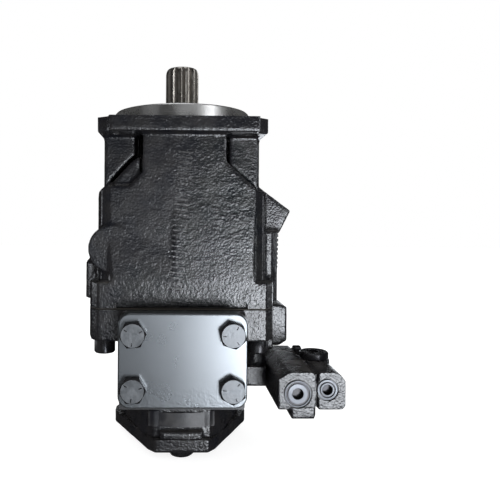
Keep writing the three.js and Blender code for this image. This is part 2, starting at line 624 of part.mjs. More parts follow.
// ---------------------------------------------------------------- the pump
const pump = new THREE.Group();
pump.add(
  makeHousing(), makeEndCap(), makeGasket(), ...makeCapScrews(),
  makeInletCover(), ...makeInletCoverBolts(), makeRearCover(), ...makeRearCoverBolts(), makeDrainPlug(),
  makeShaft(), ...makeBearings(), ...makeSeal(),
  makeBlock(), makeBallGuide(), makeBlockSpring(), makeValvePlate(),
  makeTilting(), ...makePistons(), ...makeCradleBearings(),
  ...makeStrokers(), makeValveBody(), ...makeValveParts(),
);

export default pump;
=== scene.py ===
import math
import bmesh
import bpy
import numpy as np
from mathutils import Matrix, Vector, noise


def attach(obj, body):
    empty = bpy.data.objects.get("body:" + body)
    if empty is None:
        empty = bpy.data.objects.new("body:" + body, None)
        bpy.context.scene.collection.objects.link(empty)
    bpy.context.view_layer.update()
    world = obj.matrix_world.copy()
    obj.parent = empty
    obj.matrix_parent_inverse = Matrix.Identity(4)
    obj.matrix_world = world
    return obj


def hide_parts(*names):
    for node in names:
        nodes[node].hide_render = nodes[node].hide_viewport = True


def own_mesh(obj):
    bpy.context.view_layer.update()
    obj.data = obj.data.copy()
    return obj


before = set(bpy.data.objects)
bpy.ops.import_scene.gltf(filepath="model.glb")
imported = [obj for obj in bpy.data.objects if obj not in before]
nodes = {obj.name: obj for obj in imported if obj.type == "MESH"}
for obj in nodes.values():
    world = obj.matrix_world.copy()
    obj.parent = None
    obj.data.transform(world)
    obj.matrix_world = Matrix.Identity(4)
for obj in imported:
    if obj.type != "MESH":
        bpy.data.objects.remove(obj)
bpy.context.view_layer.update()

# ---- Housing -------------------------------------------------------------------------------------
# The pump's case, sand cast in grey iron with soft edges and a coarse skin, then turned and bored.
# Its square flange carries the pilot and bolts to the machine; it is sprayed black all over after
# assembly, so only the pilot stays bright.
MM = 0.001


def prism(outline, low, high, along="z"):
    """A closed outline pushed from low to high along one axis: its points and its faces."""
    place = {"x": lambda u, v, w: (w, u, v),
             "y": lambda u, v, w: (u, w, v),
             "z": lambda u, v, w: (u, v, w)}[along]
    count = len(outline)
    points = [place(u, v, w) for w in (low, high) for u, v in outline]
    faces = [tuple(range(count)), tuple(range(count, 2 * count))]
    faces += [(i, (i + 1) % count, count + (i + 1) % count, count + i) for i in range(count)]
    return points, faces


def turning(profile, steps=64, where=Matrix.Identity(4)):
    """A profile of (radius, height) turned about the local Z axis. It closes on itself or on the axis."""
    points, faces, rows = [], [], []
    for radius, height in profile:
        count = 1 if radius < 1e-6 else steps
        rows.append([len(points) + i for i in range(count)])
        for i in range(count):
            angle = 2 * math.pi * i / steps
            points.append(tuple(where @ Vector((radius * math.cos(angle), radius * math.sin(angle), height))))
    closed = profile[0][0] > 1e-6 or profile[-1][0] > 1e-6
    pairs = list(zip(rows, rows[1:] + rows[:1])) if closed else list(zip(rows, rows[1:]))
    for one, two in pairs:
        for i in range(steps):
            j = (i + 1) % steps
            ring = [one[i % len(one)], one[j % len(one)], two[j % len(two)], two[i % len(two)]]
            ring = [p for n, p in enumerate(ring) if p not in ring[:n]]
            if len(ring) > 2:
                faces.append(tuple(ring))
    return points, faces


def facing(direction, x=0.0, y=0.0, z=0.0):
    """Where a piece made along +Z goes, so that its Z axis points in this direction from that point."""
    turn = Vector(direction).to_track_quat("Z", "Y").to_matrix().to_4x4()
    return Matrix.Translation((x, y, z)) @ turn


def bar(radius, start, end, steps=48):
    """A round bar between two points."""
    way = Vector(end) - Vector(start)
    profile = [(0, 0), (radius, 0), (radius, way.length), (0, way.length)]
    return turning(profile, steps, facing(way, *start))


def block(x, y, z):
    """A square-cornered block between two limits on each axis."""
    return prism([(x[0], y[0]), (x[1], y[0]), (x[1], y[1]), (x[0], y[1])], *z)


def make(name, *solids):
    """A mesh object from closed solids in millimetres."""
    shape = bmesh.new()
    for points, faces in solids:
        corners = [shape.verts.new(Vector(p) * MM) for p in points]
        for face in faces:
            shape.faces.new([corners[i] for i in face])
    bmesh.ops.recalc_face_normals(shape, faces=shape.faces)
    mesh = bpy.data.meshes.new(name)
    shape.to_mesh(mesh)
    shape.free()
    piece = bpy.data.objects.new(name, mesh)
    bpy.context.scene.collection.objects.link(piece)
    return piece


def settle(piece):
    """Makes the piece's modifiers part of its mesh."""
    graph = bpy.context.evaluated_depsgraph_get()
    made = bpy.data.meshes.new_from_object(piece.evaluated_get(graph))
    piece.modifiers.clear()
    piece.data = made
    return piece


def join(piece, solids, how="UNION"):
    """Welds closed solids to the piece, or cuts them from it, with crisp edges."""
    tools = []
    for solid in solids:
        tool = solid if isinstance(solid, bpy.types.Object) else make("tool", solid)
        step = piece.modifiers.new(how, "BOOLEAN")
        step.operation, step.solver, step.object = how, "MANIFOLD", tool
        tools.append(tool)
    settle(piece)
    for tool in tools:
        bpy.data.objects.remove(tool)
    return piece


def cut(piece, *solids):
    return join(piece, solids, "DIFFERENCE")


def cast_skin(piece, voxel, rounds, swell=0.12):
    """Melts joined solids into one skin with soft edges and the slight waves of a sand mould."""
    skin = piece.modifiers.new("skin", "REMESH")
    skin.mode, skin.voxel_size = "VOXEL", voxel * MM
    soften = piece.modifiers.new("soft edges", "SMOOTH")
    soften.factor, soften.iterations = 0.5, rounds
    settle(piece)
    count = len(piece.data.vertices)
    spots, normals = np.empty(count * 3), np.empty(count * 3)
    piece.data.vertices.foreach_get("co", spots)
    piece.data.vertices.foreach_get("normal", normals)
    spots, normals = spots.reshape(-1, 3), normals.reshape(-1, 3)
    waves = np.array([noise.noise(Vector(p * 95)) + 0.6 * noise.noise(Vector(p * 260)) for p in spots])
    piece.data.vertices.foreach_set("co", (spots + normals * (waves * swell * MM)[:, None]).ravel())
    return piece


def shade(piece, angle=32):
    """Smooth shading, with every edge over this angle kept sharp."""
    piece.data.polygons.foreach_set("use_smooth", [True] * len(piece.data.polygons))
    piece.data.set_sharp_from_angle(angle=math.radians(angle))
    return piece


def dress(piece, *finishes):
    """The piece's materials, in order of slot."""
    piece.data.materials.clear()
    for finish in finishes:
        piece.data.materials.append(finish)
    return piece


def machined_and_painted_shade_faces(piece, wanted):
    """Gives the second finish to faces whose centre, in millimetres, and normal are as wanted: a machined
    finish on the castings, and painted shade in the plugs' recesses.
    """
    for face in piece.data.polygons:
        if wanted(face.center / MM, face.normal):
            face.material_index = 1


def fit(piece, body, slot, *replaced):
    """The piece rides on its body and stands for its CAD nodes, which are hidden. Its slot is not used."""
    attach(piece, body)
    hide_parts(*replaced)
    return piece


def new_group(name, inputs, outputs):
    """A node group with named sockets: its tree, its input node and its output node."""
    tree = bpy.data.node_groups.new(name, "ShaderNodeTree")
    for label, value in inputs.items():
        kind = "NodeSocketColor" if isinstance(value, tuple) else "NodeSocketFloat"
        tree.interface.new_socket(label, in_out="INPUT", socket_type=kind).default_value = value
    for label in outputs:
        kind = "NodeSocketColor" if label == "Color" else "NodeSocketFloat"
        tree.interface.new_socket(label, in_out="OUTPUT", socket_type=kind)
    return tree, tree.nodes.new("NodeGroupInput"), tree.nodes.new("NodeGroupOutput")


def add(tree, kind, values=None, **settings):
    """One node. A value is a number, a colour, or the output that feeds that input."""
    made = tree.nodes.new("ShaderNode" + kind)
    for key, value in settings.items():
        setattr(made, key, value)
    for key, value in (values or {}).items():
        if isinstance(value, bpy.types.NodeSocket):
            tree.links.new(value, made.inputs[key])
        else:
            made.inputs[key].default_value = value
    return made


def sums(tree, operation, *values):
    """One sum on two or three numbers or outputs."""
    return add(tree, "Math", dict(enumerate(values)), operation=operation).outputs[0]


def spread(tree, value, low, high, to_low=0.0, to_high=1.0):
    """A value stretched from one range to another and held inside it."""
    limits = {"From Min": low, "From Max": high, "To Min": to_low, "To Max": to_high}
    return add(tree, "MapRange", {"Value": value, **limits}).outputs["Result"]


def blended(tree, share, first, second):
    """A colour between two, by share."""
    made = add(tree, "Mix", data_type="RGBA")
    for socket, value in ((made.inputs[0], share), (made.inputs[6], first), (made.inputs[7], second)):
        if isinstance(value, bpy.types.NodeSocket):
            tree.links.new(value, socket)
        else:
            socket.default_value = value
    return made.outputs[2]


# Sand grain: pits and bumps of the mould's sand, printed into the iron and softened by paint.
cast_grain, grain_in, grain_out = new_group(
    "cast grain", {"Grain per metre": 620.0, "Blotch per metre": 60.0}, ["Height", "Mottle"])
place = add(cast_grain, "TexCoord").outputs["Object"]
sand = add(cast_grain, "TexNoise", {"Vector": place, "Scale": grain_in.outputs[0], "Detail": 2.0,
                                    "Roughness": 0.5, "Distortion": 0.15})
double = sums(cast_grain, "MULTIPLY", grain_in.outputs[0], 0.42)
lumps = add(cast_grain, "TexVoronoi", {"Vector": place, "Scale": double}, feature="SMOOTH_F1")
blotch = add(cast_grain, "TexNoise", {"Vector": place, "Scale": grain_in.outputs[1], "Detail": 4.0})
fine = sums(cast_grain, "MULTIPLY", sand.outputs[0], 0.75)
coarse = sums(cast_grain, "MULTIPLY_ADD", lumps.outputs[0], 0.3, fine)
cast_grain.links.new(coarse, grain_out.inputs["Height"])
cast_grain.links.new(blotch.outputs[0], grain_out.inputs["Mottle"])

# Edge wear: where an edge stands proud, handling thins the finish in broken patches.
edge_wear, wear_in, wear_out = new_group(
    "edge wear", {"Start": 0.53, "Full": 0.62, "Patches per metre": 180.0}, ["Worn"])
sharpness = add(edge_wear, "NewGeometry").outputs["Pointiness"]
proud = add(edge_wear, "MapRange", {"Value": sharpness, "From Min": wear_in.outputs[0],
                                    "From Max": wear_in.outputs[1]}).outputs["Result"]
place = add(edge_wear, "TexCoord").outputs["Object"]
patches = add(edge_wear, "TexNoise", {"Vector": place, "Scale": wear_in.outputs[2], "Detail": 3.0})
broken = spread(edge_wear, patches.outputs[0], 0.38, 0.62)
edge_wear.links.new(sums(edge_wear, "MULTIPLY", proud, broken), wear_out.inputs["Worn"])

# Settled dust: a pale film on what faces up, thickest where nothing wipes it.
dust, dust_in, dust_out = new_group("settled dust", {"Amount": 0.25, "Drifts per metre": 45.0}, ["Film"])
upward = add(dust, "SeparateXYZ", {0: add(dust, "NewGeometry").outputs["Normal"]}).outputs["Z"]
place = add(dust, "TexCoord").outputs["Object"]
drifts = add(dust, "TexNoise", {"Vector": place, "Scale": dust_in.outputs[1], "Detail": 5.0})
film = sums(dust, "MULTIPLY", spread(dust, upward, 0.4, 0.95), spread(dust, drifts.outputs[0], 0.35, 0.7))
dust.links.new(sums(dust, "MULTIPLY", film, dust_in.outputs[0]), dust_out.inputs["Film"])

# Turning marks: the tool's spiral on a face or a diameter about the piece's own Z axis.
turning_marks, marks_in, marks_out = new_group(
    "turning marks", {"Marks per metre": 1500.0, "Smears per metre": 40.0}, ["Height", "Smear"])
place = add(turning_marks, "TexCoord").outputs["Object"]
apart = add(turning_marks, "SeparateXYZ", {0: place})
flat = add(turning_marks, "CombineXYZ", {"X": apart.outputs["X"], "Y": apart.outputs["Y"]})
radius = add(turning_marks, "VectorMath", {0: flat.outputs[0]}, operation="LENGTH").outputs["Value"]
along = sums(turning_marks, "ADD", radius, apart.outputs["Z"])
marks = add(turning_marks, "TexNoise", {"W": sums(turning_marks, "MULTIPLY", along, marks_in.outputs[0]),
                                        "Scale": 1.0, "Detail": 2.0}, noise_dimensions="1D")
smear = add(turning_marks, "TexNoise", {"Vector": place, "Scale": marks_in.outputs[1], "Detail": 4.0})
turning_marks.links.new(marks.outputs[0], marks_out.inputs["Height"])
turning_marks.links.new(smear.outputs[0], marks_out.inputs["Smear"])


def new_finish(name, **plain):
    """A material with its surface shader, whose plain values are set on its own sockets."""
    finish = bpy.data.materials.new(name)
    finish.use_nodes = True
    tree = finish.node_tree
    surface = tree.nodes["Principled BSDF"]
    for key, value in plain.items():
        surface.inputs[key.replace("_", " ")].default_value = value
    return finish, tree, surface


def effect(tree, group, **values):
    """A shader node group placed in a material with its own values."""
    placed = tree.nodes.new("ShaderNodeGroup")
    placed.node_tree = group
    for key, value in values.items():
        placed.inputs[key.replace("_", " ")].default_value = value
    return placed.outputs


def rough_up(tree, surface, height, depth, strength=1.0):
    """A bump of this depth in millimetres under the surface's normal."""
    bump = add(tree, "Bump", {"Strength": strength, "Distance": depth * MM, "Height": height})
    tree.links.new(bump.outputs[0], surface.inputs["Normal"])


def black_paint(name, grain, depth, gloss, tone=1.0):
    """Sprayed black over iron: grain per metre, grain depth in millimetres, the paint's roughness."""
    finish, tree, surface = new_finish(name, Specular_IOR_Level=0.55)
    skin = effect(tree, cast_grain, Grain_per_metre=grain)
    worn = effect(tree, edge_wear)["Worn"]
    film = effect(tree, dust)["Film"]
    dark = (0.0045 * tone, 0.0047 * tone, 0.0062 * tone, 1)
    warm = (0.0095 * tone, 0.0088 * tone, 0.009 * tone, 1)
    base = blended(tree, spread(tree, skin["Mottle"], 0.35, 0.65), dark, warm)
    rubbed = blended(tree, sums(tree, "MULTIPLY", worn, 0.55), base, (0.075, 0.073, 0.072, 1))
    dusty = blended(tree, film, rubbed, (0.16, 0.15, 0.14, 1))
    tree.links.new(dusty, surface.inputs["Base Color"])
    level = spread(tree, skin["Mottle"], 0.3, 0.7, gloss - 0.05, gloss + 0.08)
    duller = sums(tree, "MULTIPLY_ADD", film, 0.5, level)
    tree.links.new(duller, surface.inputs["Roughness"])
    tree.links.new(sums(tree, "MULTIPLY", worn, 0.3), surface.inputs["Metallic"])
    rough_up(tree, surface, skin["Height"], depth)
    return finish


def turned_steel(name, color, gloss, marks=1500.0, depth=0.012):
    """Bright steel or iron straight from the lathe."""
    finish, tree, surface = new_finish(name, Anisotropic=0.5)
    lines = effect(tree, turning_marks, Marks_per_metre=marks)
    stain = spread(tree, lines["Smear"], 0.35, 0.75)
    shadowed = tuple(0.62 * c for c in color) + (1,)
    tree.links.new(blended(tree, stain, tuple(color) + (1,), shadowed), surface.inputs["Base Color"])
    level = spread(tree, lines["Smear"], 0.3, 0.8, gloss - 0.05, gloss + 0.12)
    tree.links.new(level, surface.inputs["Roughness"])
    tree.links.new(spread(tree, lines["Smear"], 0.2, 0.9, 1.0, 0.9), surface.inputs["Metallic"])
    rough_up(tree, surface, lines["Height"], depth)
    return finish


cast_paint = black_paint("black paint on cast iron", 600.0, 0.44, 0.19)
bright_iron = turned_steel("turned iron", (0.68, 0.66, 0.63), 0.26)

FLANGE = [(-62, -74.5), (64, -74.5), (64, -67), (73, -60), (73, 60), (64, 67), (64, 74.5), (-64, 74.5),
          (-64, 67), (-73, 60), (-73, -60), (-63, -67)]
BARREL = [(-62, -65.6), (-7, -67.2), (61, -67), (69, -61.5), (72.8, -50), (76, -28), (78, -8), (78, 8),
          (76, 28), (72.8, 50), (69, 61.5), (61, 67), (-61, 67), (-69, 61.5), (-72.8, 50), (-76, 28),
          (-78, 8), (-78, -8), (-76, -28), (-72.8, -50), (-69, -61.5)]
SIDE = [(-79, -164), (79, -164), (79, -72), (75, -64), (63, -61), (36.5, -37), (36.5, -4), (-34.5, -4),
        (-34.5, -30), (-64, -57), (-75, -64), (-79, -72)]
BAND = [(-71, -69), (71, -69), (77, -61), (80.5, -46), (80.5, 46), (77, 61), (71, 69), (-71, 69),
        (-77, 61), (-80.5, 46), (-80.5, -46), (-77, -61)]

barrel = join(make("barrel", prism(BARREL, -163, -4)), [prism(SIDE, -70, 70, "y")], "INTERSECT")
cut(barrel, block((35.5, 90), (55, 90), (-58, -13)), block((-90, -34.5), (55, 90), (-58, -13)),
    prism([(-33.9, -10), (-33.9, -45.5), (-44.8, -57.5), (-90, -59.5), (-90, -10)], -90, -51, "y"))
shoulder = [(-37, -33), (-42.5, -36.5), (-58.5, -53.5), (-58.5, -56), (-43.8, -55.4), (-37.2, -46.8)]
left_web = [(-41.8, -8), (-41.8, -30), (-46.5, -34), (-64.5, -54), (-69, -58), (-69, -8)]
right_web = [(41.4, -8), (41.4, -37.5), (63, -57), (66.5, -60), (66.5, -8)]
front_boss = bar(20.2, (-59.5, -66.3, -111.5), (-59.5, -40, -111.5))
servo_boss = turning([(0, -163), (27.2, -163), (27.2, -128), (22, -122), (0, -122)], 64,
                     Matrix.Translation((-64, 4, 0)))
bias_boss = prism([(60, -30), (82, -30), (88.5, -24), (88.5, 24), (82, 30), (60, 30)], -162, -97)
bias_foot = prism([(60, -28), (86, -28), (86, 28), (60, 28)], -140, -131)
drain_boss = prism([(60, -47), (71.5, -56), (101, -78), (90.5, -99), (60, -99)], -21.5, 21.5, "y")
ribs = block((-72.7, 72.7), (-15.5, 15.5), (-68, -4))
flange = prism(FLANGE, -12.9, 4)
band = prism(BAND, -164, -139.5)
right_fairing = prism([(-60, -66), (-67.1, -66), (-69.2, -139.9), (-60, -139.9)], -7, 61, "x")
left_fairing = prism([(-60, -98), (-66.1, -98), (-69.2, -139.9), (-60, -139.9)], -61, -7, "x")
post = turning([(0, -60), (47.5, -60), (47.5, -4), (0, -4)])
housing = make("housing_casting", prism(shoulder, -60.5, -20, "y"), prism(left_web, -45, -12, "y"),
               prism(right_web, -45, -12, "y"), front_boss, servo_boss, bias_boss,
               bias_foot, drain_boss, ribs, flange, band,
               right_fairing, left_fairing, post)
scratch = bmesh.new()
scratch.from_mesh(housing.data)
scratch.from_mesh(barrel.data)
scratch.to_mesh(housing.data)
scratch.free()
bpy.data.objects.remove(barrel)
cast_skin(housing, 1.3, 4)

# The ladder of short ribs left by the pattern on the front wall, and the beads on the control side.
rungs, rung_pitch, rung_step, rung_proud = 27, 4.4, 0.3, 0.9
wall_y, wall_lean, lean_starts = -67.2, 0.0284, -66
ladder = []
for n in range(rungs):
    height, left = -31 - rung_pitch * n, -4 - rung_step * n
    front = wall_y - wall_lean * max(0, lean_starts - height) - rung_proud
    ladder.append(prism([(left, height + 1.2), (left + 12, height), (left + 12.4, height + 1.3),
                         (left, height + 2.5)], front, -64, "y"))
beads = []
for n in range(8):
    y, z = -22 + 0.4 * n, -101 - 4.2 * n
    beads.append(bar(1.3, (86.5, y, z), (89.4, y, z), 12))
join(housing, ladder + beads)
pilot_radius, mount_hole, tap_x, tap_y, piston_x = 63.5, 57.25, 66.5, 52, 62
pilot = turning([(0, -6), (pilot_radius, -6), (pilot_radius, 11.6), (62.4, 12.7), (0, 12.7)], 160)
cut(housing, block((-120, 120), (-120, 120), (0, 30)), block((-120, 120), (-120, 120), (-190, -161)))
join(housing, [pilot])
hollows = [
    turning([(0, 20), (37.3, 20), (36.3, 11.7), (36.3, 11.6), (38, 11.6), (38, 9.3), (36.3, 9.3), (36.3, 0.5),
             (34.3, -0.5), (34.3, -22.3), (24, -22.3), (24, -60), (0, -60)], 96),
    bar(44.3, (0, -46, -85), (0, 46, -85), 96),
    prism([(-58, -112), (58, -112), (58, -58), (50, -50), (-50, -50), (-58, -58)], -53, 53, "y"),
    prism([(-72.5, -112), (72.5, -112), (72.5, -80), (71.2, -61), (68, -44), (-68, -44), (-71.2, -61),
           (-72.5, -80)], -12.5, 12.5, "y"),
    bar(52.5, (0, 0, -170), (0, 0, -100), 96),
    bar(8.4, (-piston_x, 0, -158), (-piston_x, 0, -105), 32),
    bar(8.4, (piston_x, 0, -158), (piston_x, 0, -105), 32),
]
flange_holes = [bar(7.15, (x, y, -30), (x, y, 20), 40)
                for x in (-mount_hole, mount_hole) for y in (-mount_hole, mount_hole)]
screw_taps = [bar(6.3, (x, y, -170), (x, y, -144), 24) for x in (-tap_x, tap_x) for y in (-tap_y, tap_y)]
drain_way = facing((0.5978, 0, 0.8016), 87, 0, -67.1)
drain_port = turning([(0, -20), (9, -20), (9, -4), (13, -4), (13, 5), (0, 5)], 48, drain_way)
scallop = prism([(-56, -166), (56, -166), (55, -157), (50, -153.4), (44, -152.4), (-44, -152.4),
                 (-50, -153.4), (-55, -157)], -90, -63, "y")
cut(housing, *hollows, *flange_holes, *screw_taps, drain_port, scallop)
dress(shade(housing), cast_paint, bright_iron)
machined_and_painted_shade_faces(housing, lambda spot, way: spot.z > 0.2 or math.hypot(spot.x, spot.y) < 38.6
               or (math.hypot(spot.x, spot.y) < 52.8 and -160.5 < spot.z < -60))
fit(housing, "case", "painted_iron", "housing")

# ---- End cap -------------------------------------------------------------------------------------
# The second iron casting closes the case's open end and holds both ports: the wide inlet in front, the
# high-pressure outlet behind. Four long screws clamp it over a thin fibre gasket.
cap = make("end_cap_casting",
           prism(BAND, -188.8, -158),
           prism([(-51, -240), (51, -240), (51, -164), (-51, -164)], -87, 3, "y"),
           prism([(-43.6, -235.6), (43.6, -235.6), (43.6, -164), (-43.6, -164)], -3, 80, "y"),
           prism([(-24, -70.2), (24, -70.2), (34, -60), (56, -5), (56, 5), (28, 70), (-28, 70), (-56, 5),
                  (-56, -5), (-34, -60)], -271, -228),
           prism([(60, -202.5), (91, -202.5), (98, -198), (98, -167), (91, -164.5), (60, -164.5)],
                 -23.5, 23.5, "y"),
           block((70, 80.5), (-48, -18), (-200, -166)),
           block((30, 74), (-51.5, 7.5), (-231.6, -202)),
           block((-17.5, 17.5), (-74.8, -50), (-271, -262.4)))
cast_skin(cap, 1.25, 4)
arc = [(-math.pi / 2 + (step / 24 - 0.5) * 0.56) for step in range(25)]
smooth_band = [(100 * math.cos(a), 28 + 100 * math.sin(a)) for a in arc] + [(28, -60), (-28, -60)]
join(cap, [prism(smooth_band, -259.4, -247.5)])
kidney = [(40 * math.cos(a), 40 * math.sin(a)) for a in [-0.95 + 1.9 * n / 20 for n in range(21)]]
kidney += [(31 * math.cos(a), 31 * math.sin(a)) for a in [0.95 - 1.9 * n / 20 for n in range(21)]]
cover_z, cover_bolt_x, cover_bolt_z = -197, 38.9, 21.45
inlet_kidney = prism([(y, -x) for x, y in kidney], cover_z, -150)
outlet_kidney = prism([(-y, x) for x, y in kidney], cover_z, -150)
clear = [block((-130, 130), (-130, 130), (-162.5, -120)), block((-130, 130), (-130, 130), (-300, -268.2)),
         block((-60, 60), (-130, -85), (-300, -100)), block((-60, 60), (78, 130), (-300, -100))]
cut(cap, *clear)
join(cap, [turning([(0, -164.5), (49, -164.5), (49, -158.7), (0, -158.7)], 96)])
ways = [turning([(0, -155), (26.3, -155), (26.3, -184), (20, -184), (20, -192), (0, -192)], 64),
        bar(25, (0, -95, cover_z), (0, -30, cover_z), 64), bar(16, (0, 30, cover_z), (0, 95, cover_z), 48),
        inlet_kidney, outlet_kidney, bar(24, (0, 0, -280), (0, 0, -250), 64)]
for x in (-tap_x, tap_x):
    for y in (-52, 52):
        ways += [bar(6.8, (x, y, -200), (x, y, -150), 24), bar(10.5, (x, y, -215), (x, y, -189), 40)]
ways += [bar(6.3, (x, -90, cover_z + z), (x, -65, cover_z + z), 24)
         for x in (-cover_bolt_x, cover_bolt_x) for z in (-cover_bolt_z, cover_bolt_z)]
ways += [bar(5.1, (x, 56, cover_z + z), (x, 90, cover_z + z), 24)
         for x in (-33.35, 33.35) for z in (-15.9, 15.9)]
ways += [bar(6.3, (0, y, -275), (0, y, -250), 24) for y in (-60, 60)]
ways += [bar(4.3, (58, -14, z), (80, -14, z), 20) for z in (-227, -211)]
cut(cap, *ways)
smooth_paint = black_paint("black paint on machined iron", 900.0, 0.06, 0.34, 1.6)
dress(shade(cap), cast_paint, smooth_paint)
machined_and_painted_shade_faces(cap, lambda spot, way: (-259.5 < spot.z < -247.4 and spot.y < -67 and abs(spot.x) < 29)
               or spot.z > -162.6 or spot.y < -84.9 or spot.y > 77.9)
fit(cap, "case", "painted_iron", "end_cap")

# The gasket's edge shows as a thin dull line between the two castings.
fibre, tree, surface = new_finish("gasket fibre", Specular_IOR_Level=0.2)
felt = effect(tree, cast_grain, Grain_per_metre=2400.0)
tree.links.new(blended(tree, felt["Height"], (0.012, 0.011, 0.010, 1), (0.05, 0.045, 0.038, 1)),
               surface.inputs["Base Color"])
tree.links.new(spread(tree, felt["Mottle"], 0.3, 0.7, 0.8, 0.95), surface.inputs["Roughness"])
rough_up(tree, surface, felt["Height"], 0.03)
dress(nodes["end_cap_gasket"], fibre)

# ---- Rear cover ----------------------------------------------------------------------------------
# A cast plate closes the through-drive at the bottom. Its plan tapers to the two bolts that hold it,
# and the pump stands on their heads.
rear = make("rear_cover_plate", prism([(-22.5, -76.5), (22.5, -76.5), (28.5, -69.5), (61.5, -6), (61.5, 6),
                                       (28.5, 69.5), (22.5, 76.5), (-22.5, 76.5), (-28.5, 69.5), (-61.5, 6),
                                       (-61.5, -6), (-28.5, -69.5)], -279.2, -266))
cast_skin(rear, 1.1, 3)
cut(rear, block((-90, 90), (-90, 90), (-268.5, -250)), bar(6.8, (0, -60, -290), (0, -60, -260)),
    bar(6.8, (0, 60, -290), (0, 60, -260)))
dress(shade(rear), cast_paint)
fit(rear, "case", "painted_iron", "rear_cover")

# ---- Inlet cover ---------------------------------------------------------------------------------
# A thick steel plate blanks the front suction port for shipping. Its flame-cut edge is ground round,
# and the rolled face under its thin satin coat shows a faint skin, rougher towards the lower edge.
satin_steel, tree, surface = new_finish("satin coated steel plate")
skin = effect(tree, cast_grain, Grain_per_metre=540.0, Blotch_per_metre=38.0)
lower = spread(tree, add(tree, "SeparateXYZ", {0: add(tree, "TexCoord").outputs["Object"]}).outputs["Z"],
               -0.234, -0.214, 1.0, 0.0)
tree.links.new(blended(tree, spread(tree, skin["Mottle"], 0.3, 0.75), (0.152, 0.162, 0.17, 1),
                       (0.16, 0.17, 0.178, 1)), surface.inputs["Base Color"])
tree.links.new(spread(tree, skin["Mottle"], 0.3, 0.7, 0.27, 0.285), surface.inputs["Roughness"])
tree.links.new(spread(tree, skin["Mottle"], 0.1, 0.9, 0.9, 0.93), surface.inputs["Metallic"])
pits = sums(tree, "MULTIPLY", skin["Height"], lower)
rough_up(tree, surface, pits, 0.17)


def round_corners(half_x, half_z, r, steps=10):
    """The outline of a plate with round corners about the inlet port's centre."""
    outline = []
    for n, (sx, sz) in enumerate(((1, 1), (-1, 1), (-1, -1), (1, -1))):
        for i in range(steps + 1):
            a = math.pi / 2 * (n + i / steps)
            outline.append((sx * (half_x - r) + r * math.cos(a),
                            cover_z + sz * (half_z - r) + r * math.sin(a)))
    return outline


def bevel(piece, width, segments=3, angle=35):
    """Breaks the piece's sharp edges."""
    step = piece.modifiers.new("broken edges", "BEVEL")
    step.width, step.segments, step.limit_method = width * MM, segments, "ANGLE"
    step.angle_limit, step.harden_normals = math.radians(angle), False
    return settle(piece)


cover = make("inlet_cover_plate", prism(round_corners(50.85, 37.15, 9.5), -100.3, -85.3, "y"))
bevel(cover, 1.3, 4, 60)
cut(cover, *[bar(6.8, (x, -110, cover_z + z), (x, -80, cover_z + z), 32)
             for x in (-cover_bolt_x, cover_bolt_x) for z in (-cover_bolt_z, cover_bolt_z)])
weights = shade(cover).modifiers.new("flat faces stay flat", "WEIGHTED_NORMAL")
weights.keep_sharp, weights.weight = True, 100
dress(settle(cover), satin_steel)
fit(cover, "case", "plated_steel", "inlet_cover")

# ---- Hex bolts -----------------------------------------------------------------------------------
# M12 bolts, cold forged with a chamfered hexagon, a washer face and three sunk grade dashes. Four
# hold the inlet cover and two hold the rear cover.
# A lighter copy of the bolt steel for the cover bolts' flat top faces: a painted sheen where the front lamps
# fall. The rest of each head keeps the black oxide.
bolt_top_painted_sheen, tree, surface = new_finish("lighter bolt top, painted sheen")
skin = effect(tree, cast_grain, Grain_per_metre=400.0, Blotch_per_metre=130.0)
tint = blended(tree, spread(tree, skin["Mottle"], 0.35, 0.65),
               (0.095, 0.10, 0.105, 1), (0.135, 0.14, 0.145, 1))
tree.links.new(tint, surface.inputs["Base Color"])
tree.links.new(spread(tree, skin["Mottle"], 0.3, 0.7, 0.3, 0.45), surface.inputs["Roughness"])
tree.links.new(spread(tree, skin["Mottle"], 0.2, 0.8, 0.8, 0.95), surface.inputs["Metallic"])
rough_up(tree, surface, skin["Height"], 0.12)
# The same black steel also fills the zinc plugs' socket and groove as painted shade.
black_oxide_and_painted_shade, tree, surface = new_finish("black oxide steel, also painted shade")
skin = effect(tree, cast_grain, Grain_per_metre=900.0, Blotch_per_metre=110.0)
worn = effect(tree, edge_wear, Start=0.6, Full=0.85)["Worn"]
tint = blended(tree, spread(tree, skin["Mottle"], 0.35, 0.65),
               (0.012, 0.012, 0.014, 1), (0.03, 0.029, 0.03, 1))
tree.links.new(blended(tree, worn, tint, (0.16, 0.16, 0.16, 1)), surface.inputs["Base Color"])
tree.links.new(spread(tree, skin["Mottle"], 0.3, 0.7, 0.2, 0.34), surface.inputs["Roughness"])
tree.links.new(spread(tree, skin["Mottle"], 0.2, 0.8, 0.75, 0.55), surface.inputs["Metallic"])
rough_up(tree, surface, skin["Height"], 0.035)


def placed(points_and_faces, where):
    points, faces = points_and_faces
    return [tuple(where @ Vector(p)) for p in points], faces


def hexagon(across):
    corner = across / math.sqrt(3)
    return [(corner * math.cos(math.pi / 3 * n), corner * math.sin(math.pi / 3 * n)) for n in range(6)]


def hex_bolt(name, where, height, shank, turn):
    """A bolt made along Z, its head above z = 0, turned by some degrees and put in place."""
    top, corner = 9.05, 19 / math.sqrt(3)
    bolt = make(name, prism(hexagon(19), 0.5, height))
    join(bolt, [turning([(0, 0), (corner + 1, 0), (corner + 1, height - 1.75), (top, height), (0, height)])],
         "INTERSECT")
    bevel(bolt, 0.3, 2, 40)
    dashes = [placed(block((5.4, 8.2), (-0.42, 0.42), (height - 0.7, height + 1)),
                     Matrix.Rotation(math.radians(a), 4, "Z")) for a in (20, 140, 260)]
    join(bolt, [turning([(0, 0), (9.2, 0), (9.2, 0.9), (0, 0.9)]), bar(6, (0, 0, -shank), (0, 0, 0.4))])
    cut(bolt, *dashes)
    spin = Matrix.Rotation(math.radians(turn), 4, "Z")
    bolt.data.transform(Matrix.Scale(MM, 4) @ where @ spin @ Matrix.Scale(1 / MM, 4))
    return dress(shade(bolt, 20), bolt_top_painted_sheen, black_oxide_and_painted_shade)


